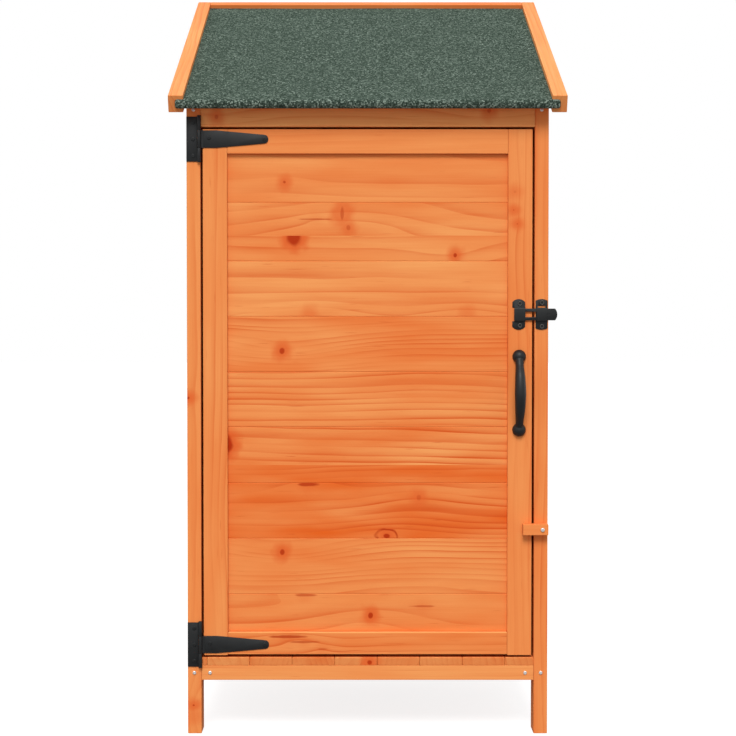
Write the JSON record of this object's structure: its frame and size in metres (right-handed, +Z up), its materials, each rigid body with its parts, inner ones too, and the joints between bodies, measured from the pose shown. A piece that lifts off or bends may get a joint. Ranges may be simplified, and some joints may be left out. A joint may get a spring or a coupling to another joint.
{
  "type": "wooden garden shed",
  "caption": "Small stained-fir tool shed on corner-post legs, with a framed boarded door on tee hinges, a slide bolt, a pull handle, a turn button and a pent roof of green mineral felt.",
  "frame": {"origin": "on the ground under the middle of the shed's outer box", "axes": "+X to the right as seen from the front, +Y to the back, +Z up; the door is on the -Y side"},
  "size_m": [0.88, 0.755, 1.7537],
  "materials": {
    "stained_fir": "satin stain",
    "stained_fir_boards": "satin stain",
    "green_mineral_felt": "rough granules",
    "black_ironwork": "satin black",
    "zinc_screw": "zinc"
  },
  "bodies": {
    "shed": {"front_left_post": "stained_fir", "front_right_post": "stained_fir", "rear_left_post": "stained_fir", "rear_right_post": "stained_fir", "front_sill": "stained_fir", "rear_sill": "stained_fir", "left_sill": "stained_fir", "right_sill": "stained_fir", "floor_boards": "stained_fir_boards", "front_header": "stained_fir", "rear_header": "stained_fir", "left_top_rail": "stained_fir", "right_top_rail": "stained_fir", "left_wall": "stained_fir_boards", "right_wall": "stained_fir_boards", "rear_wall": "stained_fir_boards", "roof_deck": "stained_fir_boards", "roof_felt": "green_mineral_felt", "left_roof_board": "stained_fir", "right_roof_board": "stained_fir", "rear_roof_board": "stained_fir", "upper_hinge_plate": "black_ironwork", "upper_hinge_pin": "black_ironwork", "lower_hinge_plate": "black_ironwork", "lower_hinge_pin": "black_ironwork", "bolt_guide": "black_ironwork", "turn_button_screw": "zinc_screw"},
    "door": {"door_left_stile": "stained_fir", "door_right_stile": "stained_fir", "door_top_rail": "stained_fir", "door_bottom_rail": "stained_fir", "door_boards": "stained_fir_boards", "upper_hinge_strap": "black_ironwork", "lower_hinge_strap": "black_ironwork", "bolt_keeper": "black_ironwork", "pull_handle": "black_ironwork"},
    "bolt": {"sliding_bolt": "black_ironwork"},
    "button": {"turn_button": "stained_fir"}
  },
  "joints": [
    {"name": "door_swing", "type": "hinge", "parent": "shed", "child": "door", "pos_m": [-0.3753, -0.33121, 0], "axis": [0, 0, -1], "range_deg": [0, 170]},
    {"name": "bolt_slide", "type": "slide", "parent": "shed", "child": "bolt", "axis": [1, 0, 0], "range_m": [0, 0.043]},
    {"name": "button_turn", "type": "hinge", "parent": "shed", "child": "button", "pos_m": [0.3905, -0.32646, 0.4626], "axis": [0, -1, 0], "range_deg": [0, 90]}
  ]
}
